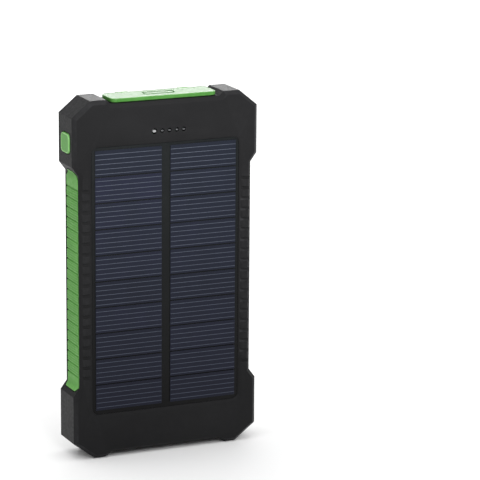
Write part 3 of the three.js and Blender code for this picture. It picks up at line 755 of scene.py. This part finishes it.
def button_rim():
    """The paler edge round the button's face, which sits a little lower; the pale ring is a painted highlight of the
    rounded edge.
    """
    face = P(-38.0, 0, 0).x
    for v in bpy.data.objects["power_button_skin"].data.vertices:
        if v.co.x < face + 0.00002:
            v.co.x = face + 0.00008
    mesh = slab("power_button_highlight_rim", lambda u, v, h: P(-h, -0.5 + u, 121.8 + v), 3.88, 3.63, 1.75,
                [(0.0, 37.85), (0.02, 37.95), (0.1, 37.995), (0.34, 37.995), (0.44, 37.95), (0.46, 37.85)], per=6, ring=True)
    publish("power_button_highlight_rim", mesh, "button_rim", "power_button")


button_rim()


# -------------------------------------------------------------- solar panel
CELL_Z0, CELL_PITCH, CELL_GAP, CELL_ROWS = 18.8, 10.03, 0.46, 10


def cells(node, x0, x1):
    plates, fingers = [], []
    cx, hx = (x0 + x1) / 2, (x1 - x0) / 2
    for r in range(CELL_ROWS):
        z0 = CELL_Z0 + r * CELL_PITCH + (CELL_GAP / 2 if r else 0)
        z1 = CELL_Z0 + (r + 1) * CELL_PITCH - (CELL_GAP / 2 if r < CELL_ROWS - 1 else 0)
        cz, hz = (z0 + z1) / 2, (z1 - z0) / 2
        plates.append(slab("plate", lambda u, v, h: P(cx + u, h, cz + v), hx, hz, 0.18,
                           [(0.0, -7.2), (0.0, -7.4), (0.05, -7.45)], per=2))
        for k in range(5):
            zf = CELL_Z0 + r * CELL_PITCH + 1.12 + k * 1.84
            fingers.append(slab("finger", lambda u, v, h: P(cx + u, h, zf + v), hx - 0.12, 0.105, 0.06,
                                [(0.0, -7.44), (0.0, -7.465), (0.03, -7.475)], per=2))
    publish(node + "_plates", joined(node + "_plates", plates), "cell_blue", "case", (node,))
    publish(node + "_fingers", joined(node + "_fingers", fingers), "silver_paste", "case")


def solar_panel_resin():
    """The panel poured out to the window's edge, with a thin joint line round it."""
    hv = (120.2 - 17.1) / 2 - 0.05
    mesh = slab("solar_board_resin", lambda u, v, h: P(u, h, 68.65 + v), 29.85, hv, 2.15,
                [(0.0, -4.8), (0.0, -7.02), (0.03, -7.08), (0.1, -7.1)], per=8)
    publish("solar_board_resin", mesh, "panel_resin", "case", ("solar_board",))


solar_panel_resin()
cells("solar_cells_left", -28.6, -1.75)
cells("solar_cells_right", 1.75, 28.6)


# ---------------------------------------------------------------- lamp cover
def diffuser():
    hu, hv = 12.6, 8.7
    cz = (107.9 + 125.3) / 2
    profile = [(0.0, 5.7), (0.0, 6.95), (0.06, 7.1), (0.2, 7.18), (0.4, 7.2), (1.35, 7.2), (1.42, 7.16), (1.5, 7.04),
               (1.7, 7.04), (1.78, 7.14), (1.86, 7.19), (2.1, 7.2), (5.0, 7.2)]
    mesh = slab("lamp_diffuser_lens", lambda u, v, h: P(u, h, cz + v), hu, hv, 2.6, profile, per=10)
    publish("lamp_diffuser_lens", mesh, "diffuser_white", "case", ("lamp_diffuser",))


diffuser()


# ---------------------------------------------------------------- caps, lenses
def screw_caps():
    i = 0
    for z in (129.3, 9.0):
        for sx in (-1, 1):
            i += 1
            profile = [(0.0, 6.75), (0.0, 7.72), (0.05, 7.85), (0.17, 7.94), (0.42, 8.0), (0.8, 8.06), (1.25, 8.09),
                       (1.75, 8.1), (2.02, 8.1)]
            mesh = slab("screw_cap_%d_plug" % i, lambda u, v, h: P(sx * 28.3 + u, h, z + v), 2.1, 2.1, 2.1, profile, per=12)
            publish("screw_cap_%d_plug" % i, mesh, "rubber_green", "case", ("screw_cap_%d" % i,))


screw_caps()


def lenses():
    for i, (x, r) in enumerate(((-5, 0.8), (-1.8, 0.6), (1.1, 0.6), (4.1, 0.6), (6.9, 0.6)), 1):
        node = "indicator_lens_%d" % i
        lo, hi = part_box(node)
        flange = (hi.x - lo.x) * 500
        hu, hv = (0.72, 0.45) if i == 1 else (0.56, 0.32)
        profile = [(r - flange, -3.8), (r - flange, -4.9), (0.0, -4.95), (0.0, -7.95), (0.05, -8.02), (0.16, -8.06), (0.32, -8.08)]
        mesh = slab(node + "_pipe", lambda u, v, h: P(x + u, h, 125 + v), hu, hv, hv, profile, per=7)
        publish(node + "_pipe", mesh, "lens_lit" if i == 1 else "lens_clear", "case", (node,))


lenses()

# --------------------------------------------------------------------- stand
skin("stand_panel", "stand_panel_skin", "panel_black", "stand", width=0.18, segments=2)


# ------------------------------------------------------------------ pull loop
def pull_loop():
    bar_y, bar_z, big_r, half, web = 6.6, 30.8, 1.15, 4.8, 0.8
    pts = []
    for i in range(9):
        a = math.radians(200 - 200 * i / 8)
        pts.append((bar_y + big_r * math.cos(a), bar_z + big_r * math.sin(a), 0))
    pts += [(a, b, 0) for a, b in ((8.15, 29.4), (8.75, 27.0), (9.1, 21.0), (9.5, 14.0), (9.74, 8.0), (9.785, 4.4))]
    for i in range(1, 6):
        a = -math.pi * i / 6
        pts.append((8.89 + 0.89 * math.cos(a), 3.4 + 0.89 * math.sin(a), 0))
    pts += [(a, b, 0) for a, b in ((8.0, 4.4), (7.95, 10.0), (7.8, 18.0), (7.65, 25.0), (7.55, 27.4), (7.15, 28.45), (6.2, 29.35))]
    line = catmull(pts, 150)
    # section across the tape: rounded edges with a selvedge cord on each side
    t = web / 2
    sec = []
    for s in (1, -1):
        for d, e in ((-half + 0.55, 0.9), (-half + 0.35, 0.84), (-half + 0.2, 1.0), (-half + 0.07, 0.7), (-half, 0.15)):
            sec.append((d, e, s))
    top = [(-half, 0.15), (-half + 0.06, 0.66), (-half + 0.22, 1.0), (-half + 0.42, 0.98), (-half + 0.55, 0.84), (-half + 0.75, 0.92)]
    row = [(x, k) for x, k in top] + [(-x, k) for x, k in reversed(top)]
    ring = [(x, k * t) for x, k in row] + [(x, -k * t) for x, k in reversed(row)]
    verts, faces = [], []
    n, m = len(line), len(ring)
    for i, p in enumerate(line):
        q = line[(i + 1) % n] - line[i - 1]
        q.normalize()
        nrm = Vector((-q.y, q.x, 0))
        for x, k in ring:
            c = p + nrm * k
            verts.append(P(x, c.x, c.y))
    for i in range(n):
        j = (i + 1) % n
        for k in range(m):
            l = (k + 1) % m
            faces.append((i * m + k, i * m + l, j * m + l, j * m + k))
    publish("pull_loop_tape", from_lists("pull_loop_tape", verts, faces), "webbing_grey", "pull_loop", ("pull_loop",), smooth=60)


pull_loop()


# ----------------------------------------------------------- cover straps
def cover_straps():
    """Two short rubber straps that tie the port cover to the rear rim."""
    for tag, x in (("left", -12.5), ("right", 12.5)):
        path = [(7.55, 134.95, 0), (7.6, 135.7, 0), (7.52, 136.5, 0), (7.15, 137.15, 0), (6.5, 137.62, 0), (5.7, 137.78, 0), (5.0, 137.8, 0)]
        line = catmull(path, 22, closed=False)
        ring = [(-1.5, -0.1), (-1.42, -0.2), (-1.3, -0.24), (1.3, -0.24), (1.42, -0.2), (1.5, -0.1),
                (1.5, 0.1), (1.42, 0.2), (1.3, 0.24), (-1.3, 0.24), (-1.42, 0.2), (-1.5, 0.1)]
        verts, faces = [], []
        n, m = len(line), len(ring)
        for i, p in enumerate(line):
            a, b = line[max(i - 1, 0)], line[min(i + 1, n - 1)]
            q = (b - a).normalized()
            nrm = Vector((-q.y, q.x, 0))
            for u, k in ring:
                c = p + nrm * k
                verts.append(P(x + u, c.x, c.y))
        for i in range(n - 1):
            for k in range(m):
                l = (k + 1) % m
                faces.append((i * m + k, i * m + l, (i + 1) * m + l, (i + 1) * m + k))
        faces.append(tuple(range(m)))
        faces.append(tuple(range((n - 1) * m, n * m))[::-1])
        name = "cover_strap_" + tag
        ob = publish(name, from_lists(name, verts, faces), "rubber_green", None, smooth=50)
        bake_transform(ob)


cover_straps()


# ------------------------------------------------- nodes kept from the CAD
def keep(node, width=0.08, segments=2, angle=30, material=None):
    """Gives a CAD node its finish, with its sharp corners eased by modifiers only."""
    ob = NODES[node]
    name = ob.data.materials[0].name.split(".")[0] if ob.data.materials else "case_black"
    key = material or name
    ob.data.materials.clear()
    ob.data.materials.append(MATS[key])
    w = ob.modifiers.new("weld", "WELD")
    w.merge_threshold = 2e-6
    if width:
        d = ob.modifiers.new("flats", "DECIMATE")
        d.decimate_type = "DISSOLVE"
        d.angle_limit = math.radians(0.6)
        b = ob.modifiers.new("corners", "BEVEL")
        b.limit_method = "ANGLE"
        b.angle_limit = math.radians(angle)
        b.width = width / 1000
        b.segments = segments
        s = ob.modifiers.new("normals", "WEIGHTED_NORMAL")
        s.keep_sharp = True
    ob.data.shade_smooth()


bpy.context.view_layer.update()
for node in sorted(NODES):
    if not NODES[node].hide_render:
        slim = node.endswith(("_red", "_black")) or node in ("shell_seal",)
        keep(node, 0.0 if slim else 0.08)

# --------------------------------------------------------------------- floor
def floor():
    size, n = 6.0, 24
    verts, faces = [], []
    for j in range(n + 1):
        for i in range(n + 1):
            verts.append(((i / n - 0.5) * size, (j / n - 0.5) * size, -0.00005))
    for j in range(n):
        for i in range(n):
            a = j * (n + 1) + i
            faces.append((a, a + 1, a + n + 2, a + n + 1))
    n_ = Nodes("paper")
    f = n_.noise(3.0, 2.0, 0.5)
    n_.color(n_.ramp(f, [(0.3, (0.925, 0.925, 0.925, 1)), (0.7, (0.945, 0.945, 0.945, 1))]))
    n_.rough(n_.map(f, 0.3, 0.7, 0.8, 0.9))
    n_.set(Specular_IOR_Level=0.1)
    n_.done("paper")
    mesh = from_lists("floor", verts, faces)
    ob = bpy.data.objects.new("floor", mesh)
    mesh.materials.append(MATS["paper"])
    scene.collection.objects.link(ob)


floor()

# --------------------------------------------------------------------- final update
bpy.context.view_layer.update()
